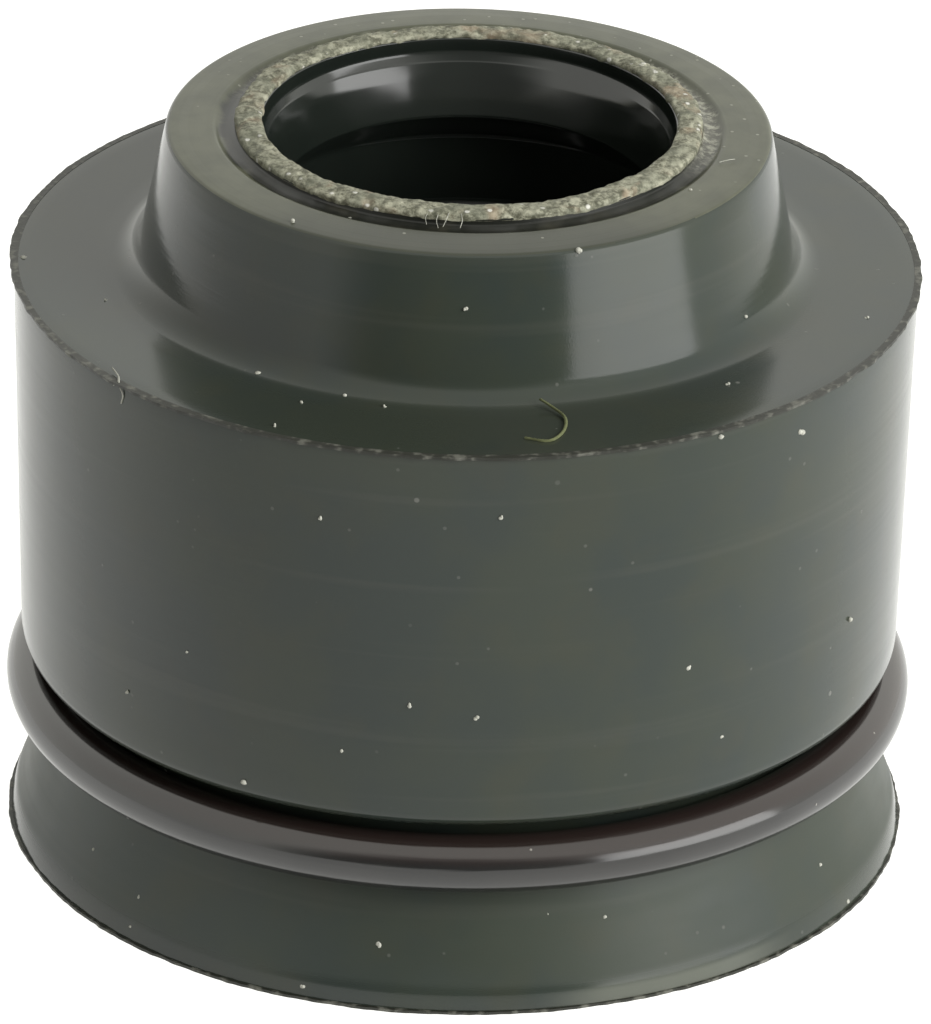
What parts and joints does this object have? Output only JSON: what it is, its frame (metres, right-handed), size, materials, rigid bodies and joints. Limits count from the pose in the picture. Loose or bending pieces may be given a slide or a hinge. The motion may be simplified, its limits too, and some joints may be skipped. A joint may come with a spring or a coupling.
{
  "type": "valve stem seal",
  "caption": "Stepped rubber cap with a lipped bore at the top for a valve stem and a wire ring clamping its flared foot onto the valve guide.",
  "frame": {"origin": "centre of the bottom face, on the axis of the valve stem", "axes": "+Z along the axis from the foot to the stem's mouth; the gap between the ring's ends faces +Y"},
  "size_m": [0.012, 0.012, 0.0101],
  "materials": {
    "rubber": "satin moulded rubber, dark green-grey",
    "ring_steel": "smooth dark drawn wire"
  },
  "bodies": {
    "root": {"seal_body": "rubber", "clamp_ring": "ring_steel"}
  },
  "joints": []
}
